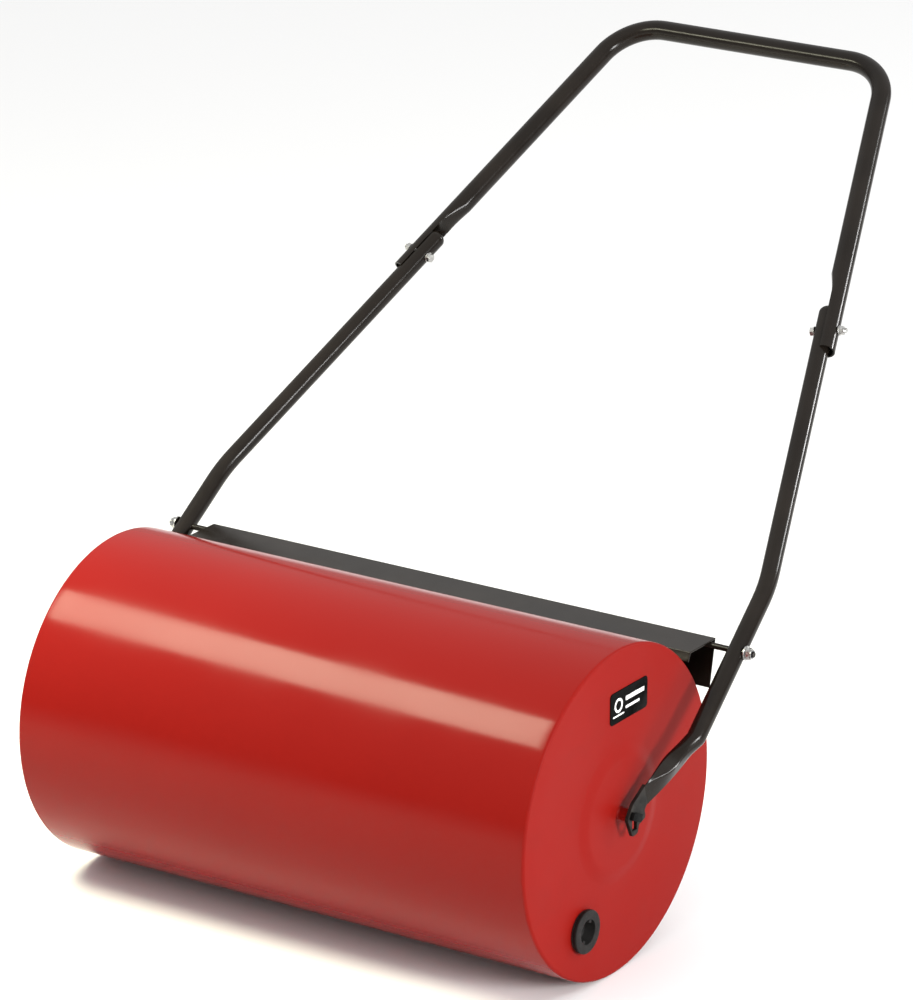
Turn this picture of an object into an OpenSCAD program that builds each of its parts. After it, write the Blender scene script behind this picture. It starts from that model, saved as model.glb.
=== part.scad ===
// Lawn roller: a ballast drum that turns in the two flattened feet of a splayed tube handle,
// with a scraper blade hung on a cross rod behind the drum.
// X runs along the drum axis, +Y is the handle side and Z is up. The origin lies on the
// ground, straight below the middle of the drum axis.

/* [Drum] */
// Outside diameter of the drum
drum_d = 320; // [314:2:326]
// Length of the drum over its flat end faces
drum_len = 570; // [560:5:580]
// Thickness of the drum's rolled sheet
shell_wall = 1.5; // [1.2:0.1:2]
// Radius of the rounded rim of each end cap
rim_r = 3; // [2.5:0.5:5]

/* [Axle] */
// Diameter of the axle stubs where they turn in the handle's feet
journal_d = 8; // [7.6:0.1:8.2]
// Length of the hammer head at the end of each stub
head_len = 17; // [16:0.5:17.5]

/* [Filler] */
// Outside diameter of the filler plug's flange
plug_d = 42; // [40:1:44]
// Distance from the drum axis to the middle of the filler
plug_offset = 113; // [108:1:116]

/* [Handle] */
// Lean of the handle back from upright
handle_lean = 53.5; // [45:0.5:60]
// Distance from the drum axis to the middle of the grip bar
handle_reach = 887; // [860:1:910]
// Diameter of the upper handle tube
upper_d = 20; // [19.8:0.1:20.4]
// Diameter of the two lower tubes
lower_d = 18; // [17.6:0.1:18.2]
// Wall of all the handle tubes
tube_wall = 1.5; // [1.2:0.1:1.8]
// Angle by which each leg draws in towards the grip bar
leg_splay = 15.1; // [14.5:0.1:15.5]
// Radius of the two corners beside the grip bar, at the middle of the tube
corner_r = 56; // [50:1:62]

/* [Scraper] */
// Length of the scraper blade
blade_len = 577; // [560:1:584]
// Width of the blade's level top face
blade_top = 45.5; // [43:0.5:47]
// Height of the blade's hanging rear face
blade_drop = 48; // [40:1:48]
// Thickness of the blade's sheet
blade_wall = 1.5; // [1.2:0.1:1.8]

/* [Hidden] */
$fn = 64;
past = 1; // how far a cut runs past the face that it opens

drum_r = drum_d / 2;
drum_half = drum_len / 2;
running_gap = 0.06;
free_gap = 0.4;
bend_swell = 0.3; // how much thicker a bend is drawn than its pipe

// end caps
cap_wall = 2;
cap_skirt = 12;
skirt_x = drum_half - cap_skirt;
boss_r = 52;
boss_slope = 6;
boss_rise = 2.8;
boss_x = drum_half + boss_rise;

// axle stubs: spigot, collar, journal and hammer head, from inside the cap outwards
foot_x = drum_half + 14.4;
foot_t = 3.6;
stub_plate_r = 45;
stub_plate_t = 3;
spigot_r = 7;
spigot_x = drum_half - 22;
collar_r = 6;
collar_end_x = foot_x - free_gap;
head_x = foot_x + foot_t + free_gap;
head_t = 3.6;
head_w = journal_d - free_gap;
head_turn = 24;

// filler: the socket is welded through the cap, the plug screws into it over a gasket
plug_turn = 238.2; // from straight back, over the top of the drum, and on down the front
socket_r = 18;
socket_bore_r = 14.1;
socket_len = 22;
gasket_lift = 0.3;
gasket_t = 1.5;
gasket_r = plug_d / 2 - 1.4;
gasket_bore_r = socket_bore_r - 0.01;
flange_x = drum_half + gasket_t + 2 * gasket_lift;
flange_t = 4.1;
flange_bevel = 0.8;
stem_r = socket_bore_r - running_gap;
stem_len = 14;
recess_r = 12;
recess_depth = 12;
key_w = 5;
key_h = 3;

// badge
badge_w = 64;
badge_h = 31;
badge_t = 0.8;
badge_y = 16;
badge_z = 105;
badge_round = 4;

// handle, in its own plane: X across, Z up the handle from the drum axis
lower_r = lower_d / 2;
upper_r = upper_d / 2;
foot_tilt = 2.8;
bend_x = drum_half + 27.8;
bend_s = 268.5;
bend_r = 160;
kink_s = 95;
kink_x = bend_x + (bend_s - kink_s) * tan(foot_tilt);
bolt_s = 562.5;
bolt_x = bend_x - (bolt_s - bend_s) * tan(leg_splay);
axis_gap = 5.3;
corner_x = bolt_x + axis_gap / cos(leg_splay) - (handle_reach - bolt_s) * tan(leg_splay);

// lean at which the blade's top is level and the slots in the feet hang straight down
built_lean = 53.5;
slot_r = journal_d / 2 + running_gap;
slot_drop = head_len + free_gap - slot_r;

// lap joint between the lower and the upper tube, along the leg from the bolt
lap = 25;
tongue_lap = 28.5;
tongue_round = 7;
lower_lip = 2.3;
upper_lip = lower_lip + 0.5;
crush_from = 16;
crush_to = 5;
dish_wall = 2.6;
dish_end = tongue_lap + 40;
shell_gap = 0.3;

// handle bolts, M5
bolt_r = 2.5;
bolt_hole_r = 2.7;
bolt_flats = 8;
bolt_hex_r = bolt_flats / 2 / cos(30);
bolt_head_h = 3.5;
bolt_nut_h = 4;
bolt_washer_r = 5;
bolt_washer_t = 1;
bolt_tail = 3;

// scraper rod, M6 at its ends
rod_r = 3;
rod_hole_r = 3.1;
rod_s = 194.5;
rod_tube_x = bend_x + (bend_s - rod_s) * tan(foot_tilt);
rod_flats = 10;
rod_hex_r = rod_flats / 2 / cos(30);
rod_nut_h = 4.6;
rod_crown_h = 1.6;
rod_crown_r = 4.6;
insert_r = rod_crown_r - 0.5;
insert_sunk = 0.3;
rod_washer_r = 7;
rod_washer_t = 1.6;
rod_washer_x = rod_tube_x + lower_r / cos(foot_tilt) + rod_washer_r * tan(foot_tilt);
rod_nut_x = rod_washer_x + rod_washer_t;
rod_tail = 1.5;
rod_end_x = rod_nut_x + rod_nut_h + rod_crown_h + rod_tail;

// scraper: the blade's outer line in the YZ plane, from the drum axis, at the built lean
rod_yz = rod_s * [sin(built_lean), cos(built_lean)];
edge_gap = 0.5;
lip_run = 4;
rear_lean = 11;
rod_to_back = 8.1;
rod_to_top = 0.3;
blade_back = rod_yz + [rod_to_back, rod_r + rod_to_top + blade_wall];
blade_front = blade_back - [blade_top, 0];
lip_y = blade_front.x - lip_run;
lip_z = sqrt(pow(drum_r + edge_gap, 2) - lip_y * lip_y);
blade_line = [blade_back - blade_drop * [sin(rear_lean), cos(rear_lean)], blade_back, blade_front,
    [lip_y, lip_z]];
lug_x = 215;
lug_t = 4;
lug_r = 5.2;

paint_red = [0.74, 0.13, 0.10];
paint_dark = [0.20, 0.18, 0.17];
zinc = [0.82, 0.82, 0.80];
steel = [0.55, 0.55, 0.55];
black = [0.06, 0.06, 0.06];
nylon = [0.16, 0.20, 0.32];

// ---- placing helpers ----

// turns a shape that stands on Z so that it points along +X
module along_x() {
    rotate([0, 90, 0]) children();
}

// draws a YZ outline and thickens it along +X
module outline_yz(t) {
    rotate([90, 0, 90]) linear_extrude(t) children();
}

module on_axis() {
    translate([0, 0, drum_r]) children();
}

// the handle's plane: local Z runs up the handle, local Y points back and down
module in_handle() {
    on_axis() rotate([-handle_lean, 0, 0]) children();
}

// moves with the handle, and is level at the built lean
module in_level() {
    in_handle() rotate([built_lean, 0, 0]) children();
}

// a leg at its bolt: local Z runs up the lower tube's axis, local X points outwards
module at_bolt() {
    in_handle() translate([bolt_x, 0, bolt_s]) rotate([0, -leg_splay, 0]) children();
}

// the filler's axis
module at_filler() {
    on_axis() rotate([plug_turn, 0, 0]) translate([0, plug_offset, 0]) children();
}

module both_sides() {
    children();
    mirror([1, 0, 0]) children();
}

module pipe(r, h) {
    difference() {
        cylinder(r = r, h = h);
        translate([0, 0, -past]) cylinder(r = r - tube_wall, h = h + 2 * past);
    }
}

// a bend in the XZ plane round the origin: it starts on +X and turns towards +Z
// its wall is a little thicker than the pipe's, so that a pipe's end seats inside it
module pipe_bend(r, bend, angle) {
    rotate([90, 0, 0]) rotate_extrude(angle = angle, $fn = 96) translate([bend, 0]) difference() {
        circle(r = r + bend_swell);
        circle(r = r - tube_wall - bend_swell);
    }
}

module hex(r, h) {
    cylinder(r = r, h = h, $fn = 6);
}

module ring(r, bore, h) {
    difference() {
        cylinder(r = r, h = h);
        translate([0, 0, -past]) cylinder(r = bore, h = h + 2 * past);
    }
}

// ---- drum ----

module drum_shell() {
    color(paint_red) on_axis() translate([-skirt_x, 0, 0]) along_x() difference() {
        cylinder(r = drum_r, h = 2 * skirt_x, $fn = 180);
        translate([0, 0, -past]) cylinder(r = drum_r - shell_wall, h = 2 * (skirt_x + past), $fn = 180);
    }
}

// what rounding takes off the rim corner at radius r and height h
module rim_waste(r, h, round_r) {
    translate([r - round_r, h - round_r]) difference() {
        square(round_r + past);
        circle(r = round_r);
    }
}

// half section of a cup with a raised middle: radius across, height out from the skirt's edge
module cup_section(r, h, round_r, middle_r, low) {
    difference() {
        polygon([[0, low], [r, low], [r, h], [middle_r + boss_slope, h], [middle_r, h + boss_rise],
            [0, h + boss_rise]]);
        rim_waste(r, h, round_r);
    }
}

module end_cap() {
    on_axis() translate([skirt_x, 0, 0]) along_x() rotate_extrude($fn = 180) difference() {
        cup_section(drum_r, cap_skirt, rim_r, boss_r, 0);
        cup_section(drum_r - cap_wall, cap_skirt - cap_wall, rim_r - cap_wall, boss_r - past, -past);
        square([spigot_r, cap_skirt + boss_rise + past]);
    }
}

module end_cap_right() {
    color(paint_red) difference() {
        end_cap();
        at_filler() translate([skirt_x, 0, 0]) along_x() cylinder(r = socket_r, h = 2 * cap_skirt);
    }
}

module end_cap_left() {
    color(paint_red) mirror([1, 0, 0]) end_cap();
}

// flat disc welded inside the cap's boss, which carries the stub
module stub_plate() {
    color(steel) on_axis() translate([boss_x - cap_wall - stub_plate_t, 0, 0]) along_x()
        ring(stub_plate_r, spigot_r, stub_plate_t);
}

// square-sided hammer head with ends rounded about the axle
module hammer_head() {
    rotate([-head_turn, 0, 0]) intersection() {
        translate([0, -head_len / 2, -head_w / 2]) cube([head_t, head_len, head_w]);
        along_x() cylinder(d = head_len, h = head_t);
    }
}

module axle_stub() {
    color(paint_dark) on_axis() {
        translate([spigot_x, 0, 0]) along_x() cylinder(r = spigot_r, h = boss_x - spigot_x);
        translate([boss_x, 0, 0]) along_x() cylinder(r = collar_r, h = collar_end_x - boss_x);
        translate([collar_end_x, 0, 0]) along_x() cylinder(d = journal_d, h = head_x - collar_end_x);
        translate([head_x, 0, 0]) hammer_head();
    }
}

module filler_socket() {
    color(steel) at_filler() translate([drum_half - socket_len, 0, 0]) along_x()
        ring(socket_r, socket_bore_r, socket_len);
}

module filler_gasket() {
    color(black) at_filler() translate([drum_half + gasket_lift, 0, 0]) along_x()
        ring(gasket_r, gasket_bore_r, gasket_t);
}

// hollow plug with two keys inside its recess for a coin or a bar to turn it by
module filler_plug() {
    color(black) at_filler() translate([flange_x, 0, 0]) difference() {
        union() {
            along_x() cylinder(d = plug_d, h = flange_t - flange_bevel);
            translate([flange_t - flange_bevel, 0, 0]) along_x()
                cylinder(r1 = plug_d / 2, r2 = plug_d / 2 - flange_bevel, h = flange_bevel);
            translate([-stem_len, 0, 0]) along_x() cylinder(r = stem_r, h = stem_len + past);
        }
        translate([flange_t - recess_depth, 0, 0]) difference() {
            along_x() cylinder(r = recess_r, h = recess_depth + past);
            for (side = [-1, 1]) translate([-past, side * recess_r - key_h, -key_w / 2])
                cube([recess_depth, 2 * key_h, key_w]);
        }
    }
}

module badge() {
    half_w = badge_w / 2 - badge_round;
    half_h = badge_h / 2 - badge_round;
    color(black) on_axis() translate([drum_half, badge_y, badge_z]) outline_yz(badge_t) {
        square([badge_w, 2 * half_h], center = true);
        square([2 * half_w, badge_h], center = true);
        for (y = [-half_w, half_w], z = [-half_h, half_h]) translate([y, z]) circle(r = badge_round);
    }
}

// ---- handle ----

// trimmed outline of the flattened foot, round the drum axis, at the built lean
module foot_outline() {
    polygon([[17.4, 24.2], [6.7, 18.6], [-2.5, 13.8], [-12.3, 0.4], [-3.1, -19.1], [5.8, -18],
        [8.2, -10], [18.1, -7.5], [19.3, -3.9], [17.1, 0.8], [22.5, 6.5]]);
}

// slot that lets the hammer head through and carries the journal in its round upper end
module foot_slot() {
    along_x() cylinder(r = slot_r, h = foot_t + 2 * past);
    translate([0, -slot_r, -slot_drop]) cube([foot_t + 2 * past, 2 * slot_r, slot_drop]);
}

// the tube's end pressed down flat, from round at the kink to two walls thick at the fold
module foot_taper() {
    fold_ends = [[16.6, 22.4], [21.0, 7.0]];
    inset = 0.3; // keeps the taper's skin just inside the tube's and the foot's
    hull() {
        in_handle() translate([kink_x, 0, kink_s]) rotate([0, -foot_tilt, 0]) translate([0, 0, -past])
            cylinder(r = lower_r - inset, h = 2 * past, $fn = 32);
        for (end = fold_ends) in_level() translate([foot_x + foot_t / 2, end.x, end.y])
            sphere(d = foot_t - 2 * inset, $fn = 16);
    }
}

// a lower tube's upper end, crushed into a half shell that lies inboard of the upper tube
module lower_tongue() {
    difference() {
        intersection() {
            translate([0, 0, -lap]) cylinder(r = lower_r, h = lap + tongue_lap);
            rotate([90, 0, 0]) linear_extrude(lower_d, center = true)
                polygon([[-lower_r, -lap], [lower_r, -lap], [lower_r, -crush_from],
                    [lower_lip, -crush_to], [lower_lip, tongue_lap], [-lower_r, tongue_lap]]);
            translate([-lower_r, 0, 0]) outline_yz(lower_d) {
                translate([tongue_round - lower_r, -lap])
                    square([2 * (lower_r - tongue_round), lap + tongue_lap]);
                translate([-lower_r, -lap]) square([lower_d, lap + tongue_lap - tongue_round]);
                for (y = [-1, 1] * (lower_r - tongue_round))
                    translate([y, tongue_lap - tongue_round]) circle(r = tongue_round);
            }
        }
        translate([0, 0, -crush_to]) cylinder(r = lower_r - dish_wall, h = 2 * tongue_lap);
        translate([0, 0, -lap - past]) cylinder(r = lower_r - tube_wall, h = lap - crush_from);
        translate([-lower_r - past, 0, 0]) along_x() cylinder(r = bolt_hole_r, h = lower_d + 2 * past);
    }
}

module lower_tube() {
    turn = leg_splay - foot_tilt;
    tangent = bend_r * tan(turn / 2);
    leg_len = (bolt_s - bend_s) / cos(leg_splay) - tangent + past;
    rod_hole_len = 2 * lower_d;
    color(paint_dark) {
        difference() {
            union() {
                in_handle() translate([bend_x, 0, bend_s]) rotate([0, -foot_tilt, 0]) {
                    translate([0, 0, (kink_s - bend_s) / cos(foot_tilt)])
                        pipe(lower_r, (bend_s - kink_s) / cos(foot_tilt) - tangent + past);
                    translate([-bend_r, 0, -tangent]) pipe_bend(lower_r, bend_r, turn);
                }
                at_bolt() {
                    lower_tongue();
                    translate([0, 0, -leg_len]) pipe(lower_r, leg_len - lap + past);
                }
            }
            in_handle() translate([rod_tube_x - rod_hole_len / 2, 0, rod_s]) along_x()
                cylinder(r = rod_hole_r, h = rod_hole_len);
        }
        foot_taper();
        difference() {
            in_level() translate([foot_x, 0, 0]) outline_yz(foot_t) foot_outline();
            in_level() translate([foot_x - past, 0, 0]) foot_slot();
        }
    }
}

// the upper tube's end, crushed into a half shell over the outboard side of the lower tube
module upper_end() {
    far = 2 * lap;
    difference() {
        intersection() {
            translate([axis_gap, 0, -lap]) cylinder(r = upper_r, h = lap + dish_end);
            rotate([90, 0, 0]) linear_extrude(upper_d, center = true)
                polygon([[far, -lap], [upper_lip, -lap], [upper_lip, tongue_lap],
                    [axis_gap - upper_r, dish_end], [far, dish_end]]);
        }
        translate([axis_gap, 0, -lap - past]) cylinder(r = upper_r - tube_wall, h = lap + tongue_lap);
        translate([0, 0, -lap - past]) cylinder(r = lower_r + shell_gap, h = lap + tongue_lap);
        along_x() cylinder(r = bolt_hole_r, h = far);
    }
}

module upper_handle() {
    leg_top = (handle_reach - bolt_s) / cos(leg_splay) - axis_gap * tan(leg_splay);
    corner_turn = 90 - leg_splay;
    tangent = corner_r * tan(corner_turn / 2);
    color(paint_dark) {
        both_sides() {
            at_bolt() {
                upper_end();
                translate([axis_gap, 0, dish_end - past])
                    pipe(upper_r, leg_top - tangent - dish_end + 2 * past);
            }
            in_handle() translate([corner_x, 0, handle_reach]) rotate([0, -leg_splay, 0])
                translate([-corner_r, 0, -tangent]) pipe_bend(upper_r, corner_r, corner_turn);
        }
        in_handle() translate([tangent - corner_x - past, 0, handle_reach]) along_x()
            pipe(upper_r, 2 * (corner_x - tangent + past));
    }
}

// ---- handle fasteners, laid out along X from the lower tube's axis ----

bolt_head_x = -lower_r - bolt_washer_t;
bolt_nut_x = axis_gap + upper_r + bolt_washer_t;

module handle_bolts() {
    color(zinc) both_sides() at_bolt() translate([bolt_head_x, 0, 0]) along_x() {
        translate([0, 0, -bolt_head_h]) hex(bolt_hex_r, bolt_head_h);
        cylinder(r = bolt_r, h = bolt_nut_x + bolt_nut_h + bolt_tail - bolt_head_x);
    }
}

module handle_washers() {
    color(zinc) both_sides() at_bolt() for (x = [bolt_head_x, bolt_nut_x - bolt_washer_t])
        translate([x, 0, 0]) along_x() ring(bolt_washer_r, bolt_r, bolt_washer_t);
}

module handle_nuts() {
    color(zinc) both_sides() at_bolt() translate([bolt_nut_x, 0, 0]) along_x() difference() {
        hex(bolt_hex_r, bolt_nut_h);
        translate([0, 0, -past]) cylinder(r = bolt_r, h = bolt_nut_h + 2 * past);
    }
}

// ---- scraper ----

module at_rod(x) {
    in_handle() translate([x, 0, rod_s]) along_x() children();
}

module scraper_rod() {
    color(paint_dark) at_rod(-rod_end_x) cylinder(r = rod_r, h = 2 * rod_end_x);
}

module rod_washers() {
    color(zinc) both_sides() at_rod(rod_washer_x) ring(rod_washer_r, rod_r, rod_washer_t);
}

module rod_nuts() {
    color(zinc) both_sides() at_rod(rod_nut_x) difference() {
        union() {
            hex(rod_hex_r, rod_nut_h);
            cylinder(r = rod_crown_r, h = rod_nut_h + rod_crown_h);
        }
        translate([0, 0, -past]) cylinder(r = rod_r, h = rod_nut_h + 2 * past);
        translate([0, 0, rod_nut_h]) cylinder(r = insert_r, h = rod_crown_h + past);
    }
}

// nylon ring in the crown of each lock nut
module nut_inserts() {
    color(nylon) both_sides() at_rod(rod_nut_x + rod_nut_h)
        ring(insert_r, rod_r, rod_crown_h - insert_sunk);
}

function unit(v) = v / norm(v);
function left_of(v) = [-v.y, v.x];
function side_at(line, i) = left_of(unit(line[i + 1] - line[i]));
// the sheet's inner line: mitred at the bends, square at the ends
function inner_point(line, i) =
    let (a = side_at(line, max(i - 1, 0)), b = side_at(line, min(i, len(line) - 2)))
    line[i] + blade_wall * (a + b) / (1 + a * b);

module blade_section() {
    ends = len(blade_line) - 1;
    polygon(concat(blade_line, [for (i = [ends:-1:0]) inner_point(blade_line, i)]));
}

module scraper_blade() {
    color(paint_dark) in_level() translate([-blade_len / 2, 0, 0]) outline_yz(blade_len)
        blade_section();
}

// eyes welded under the blade's top, which turn on the rod
module scraper_lugs() {
    eye_gap = 0.05;
    under_top = blade_back.y - blade_wall - rod_yz.y;
    color(paint_dark) both_sides() in_level() translate([lug_x - lug_t / 2, 0, 0]) outline_yz(lug_t)
        translate(rod_yz) difference() {
            union() {
                circle(r = lug_r);
                translate([-lug_r, 0]) square([2 * lug_r, under_top]);
            }
            translate([-lug_r, under_top]) square(2 * lug_r);
            circle(r = rod_r + eye_gap);
        }
}

drum_shell();
end_cap_right();
end_cap_left();
stub_plate();  // stub_plate_right
mirror([1, 0, 0]) stub_plate();  // stub_plate_left
axle_stub();  // axle_stub_right
mirror([1, 0, 0]) axle_stub();  // axle_stub_left
filler_socket();
filler_gasket();
filler_plug();
badge();
lower_tube();  // lower_tube_right
mirror([1, 0, 0]) lower_tube();  // lower_tube_left
upper_handle();
handle_bolts();
handle_washers();
handle_nuts();
scraper_rod();
rod_washers();
rod_nuts();
nut_inserts();
scraper_blade();
scraper_lugs();
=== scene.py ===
"""Looks of the lawn roller: painted drum, bent tube handle, fasteners, plug and label round the CAD frame."""
import math

import bmesh
import bpy
from mathutils import Matrix, Vector


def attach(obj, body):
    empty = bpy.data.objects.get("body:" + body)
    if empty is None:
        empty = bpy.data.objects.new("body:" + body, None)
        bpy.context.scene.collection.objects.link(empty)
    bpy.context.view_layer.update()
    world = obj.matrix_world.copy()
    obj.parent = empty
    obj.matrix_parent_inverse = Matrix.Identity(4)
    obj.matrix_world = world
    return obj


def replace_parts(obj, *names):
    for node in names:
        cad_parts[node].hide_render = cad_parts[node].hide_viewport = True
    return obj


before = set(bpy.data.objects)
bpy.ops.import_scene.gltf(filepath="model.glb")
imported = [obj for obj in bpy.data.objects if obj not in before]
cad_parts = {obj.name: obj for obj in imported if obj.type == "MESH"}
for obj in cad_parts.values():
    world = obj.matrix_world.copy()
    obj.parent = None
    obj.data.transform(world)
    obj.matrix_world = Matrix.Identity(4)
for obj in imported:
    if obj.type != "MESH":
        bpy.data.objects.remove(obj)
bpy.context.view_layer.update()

MM = 0.001

# drum
DRUM_R = 160 * MM
SKIN_R = 159.98 * MM
DRUM_HALF = 285 * MM
SKIRT_X = 273 * MM
RIM_R = 3 * MM
SHEET = 2 * MM
SHELL_WALL = 1.5 * MM
BOSS_R = 52 * MM
BOSS_SLOPE = 18 * MM
BOSS_RISE = 2.8 * MM
SPIGOT_R = 7 * MM
AXIS = Vector((0, 0, DRUM_R))

# axle stubs
FOOT_X = 299.4 * MM
FOOT_T = 3.6 * MM
STUB_GAP = 0.4 * MM
COLLAR_R = 6 * MM
JOURNAL_R = 4 * MM
HEAD_LEN = 17 * MM
HEAD_W = 7.6 * MM
HEAD_T = 3.6 * MM
HEAD_TURN = math.radians(-24)
STUB_ROOT = DRUM_HALF - 22 * MM

# filler
FILLER_OFFSET = 113 * MM
FILLER_TURN = math.radians(238.2)
FLANGE_R = 21 * MM
SOCKET_R = 18 * MM
FLANGE_X = 287.1 * MM
FLANGE_T = 4.1 * MM
RECESS_R = 12 * MM
RECESS_DEPTH = 12 * MM
STEM_R = 14 * MM
STEM_END = FLANGE_X - 14 * MM

# handle, in its own plane: u across, s up the handle from the drum axis
LEAN = math.radians(53.5)
SPLAY = math.radians(15.1)
FOOT_TILT = math.radians(2.8)
LOWER_R = 9 * MM
UPPER_R = 10 * MM
TUBE_WALL = 1.5 * MM
BEND_U = 312.8 * MM
BEND_S = 268.5 * MM
BEND_R = 160 * MM
KINK_S = 95 * MM
BOLT_S = 562.5 * MM
REACH = 887 * MM
CORNER_R = 56 * MM
AXIS_GAP = 5.3 * MM
LAP = 25 * MM
TONGUE_LAP = 28.5 * MM
LIP_LOWER = 2.3 * MM
LIP_UPPER = 2.8 * MM
DISH_END = TONGUE_LAP + 40 * MM
TONGUE_ROUND = 7.5 * MM
DISH_WALL = 2.6 * MM
# where the lower tube is crushed into its tongue, up the leg from the bolt
CRUSH_START = -18 * MM
CRUSH_END = -4 * MM

# handle bolts, M5
BOLT_R = 2.5 * MM
BOLT_FLATS = 8 * MM
BOLT_HEAD_H = 3.5 * MM
BOLT_NUT_H = 4 * MM
BOLT_WASHER_R = 5 * MM
BOLT_WASHER_T = 1 * MM
BOLT_PITCH = 0.8 * MM

# scraper rod, M6 at its ends
ROD_S = 194.5 * MM
ROD_R = 3 * MM
ROD_FLATS = 10 * MM
ROD_NUT_H = 4.6 * MM
ROD_CROWN_H = 1.6 * MM
ROD_TAIL = 1.5 * MM
ROD_WASHER_R = 7 * MM
ROD_WASHER_T = 1.6 * MM
ROD_PITCH = 1 * MM
INSERT_R = 3.95 * MM

# label
LABEL_W = 64 * MM
LABEL_H = 31 * MM
LABEL_ROUND = 4 * MM
LABEL = Vector((DRUM_HALF, 16 * MM, DRUM_R + 105 * MM))

RING = 48  # points round a tube

RED = (0.190, 0.0058, 0.0038)
RED_LIGHT = (0.204, 0.0064, 0.0042)
RED_DULL = (0.175, 0.0082, 0.0056)


# ---- placing ----

def handle_point(u, s, t=0.0):
    """A point of the handle's plane, t behind it, in the row frame."""
    return Vector((u, s * math.sin(LEAN) + t * math.cos(LEAN),
                   DRUM_R + s * math.cos(LEAN) - t * math.sin(LEAN)))


def bolt_u():
    """How far out the lower tube's axis is at the handle bolt."""
    return BEND_U - (BOLT_S - BEND_S) * math.tan(SPLAY)


def leg_point(z, out=0.0, t=0.0):
    """A point beside the lower tube's axis, z up the leg from the bolt and out sideways."""
    u = bolt_u() - z * math.sin(SPLAY) + out * math.cos(SPLAY)
    return handle_point(u, BOLT_S + z * math.cos(SPLAY) + out * math.sin(SPLAY), t)


def smooth(a):
    """Eased step from 0 to 1."""
    a = min(max(a, 0.0), 1.0)
    return a * a * (3 - 2 * a)


def mix(a, b, k):
    return a + (b - a) * k


# ---- meshes ----

def new_object(name, mesh_maker, body, material, sharp=40):
    """A piece made by mesh_maker(bm), riding on a CAD body."""
    mesh = bpy.data.meshes.new(name)
    bm = bmesh.new()
    mesh_maker(bm)
    bmesh.ops.remove_doubles(bm, verts=bm.verts, dist=1e-6)
    bmesh.ops.recalc_face_normals(bm, faces=bm.faces)
    bm.to_mesh(mesh)
    bm.free()
    piece = bpy.data.objects.new(name, mesh)
    bpy.context.scene.collection.objects.link(piece)
    mesh.materials.append(material)
    mesh.shade_smooth()
    mesh.set_sharp_from_angle(angle=math.radians(sharp))
    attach(piece, body)
    return piece


def join_rows(bm, a, b):
    """Faces between two closed rows of vertices that have the same length."""
    for i in range(len(a)):
        j = (i + 1) % len(a)
        bm.faces.new((a[i], a[j], b[j], b[i]))


def skin_rings(bm, rings):
    """Bridges rings of points that have the same length."""
    rows = [[bm.verts.new(p) for p in ring] for ring in rings]
    for a, b in zip(rows, rows[1:]):
        join_rows(bm, a, b)
    return rows


def circle_at(place, r, z, steps):
    """Points of a circle round a matrix's local Z."""
    angles = [2 * math.pi * i / steps for i in range(steps)]
    return [place @ Vector((r * math.cos(a), r * math.sin(a), z)) for a in angles]


def lathe(bm, profile, centre, steps=192):
    """Turns (x, radius) points round an X-parallel axis through centre."""
    rows = []
    for x, r in profile:
        ring = []
        for i in range(steps):
            a = 2 * math.pi * i / steps
            ring.append(Vector((x, centre.y + r * math.cos(a), centre.z + r * math.sin(a))))
        rows.append(ring)
    return skin_rings(bm, rows)


def arc(cx, cy, r, a0, a1, steps):
    """Points on a circle from angle a0 to a1 in degrees."""
    angles = [math.radians(mix(a0, a1, i / steps)) for i in range(steps + 1)]
    return [(cx + r * math.cos(a), cy + r * math.sin(a)) for a in angles]


def bevel_edges(piece, width):
    """Rounds a piece's edges as paint or a press leaves them."""
    rounder = piece.modifiers.new("rounding", "BEVEL")
    rounder.width = width
    rounder.segments = 3
    rounder.limit_method = "ANGLE"
    rounder.angle_limit = math.radians(30)
    rounder.harden_normals = False


# ---- materials ----

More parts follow.
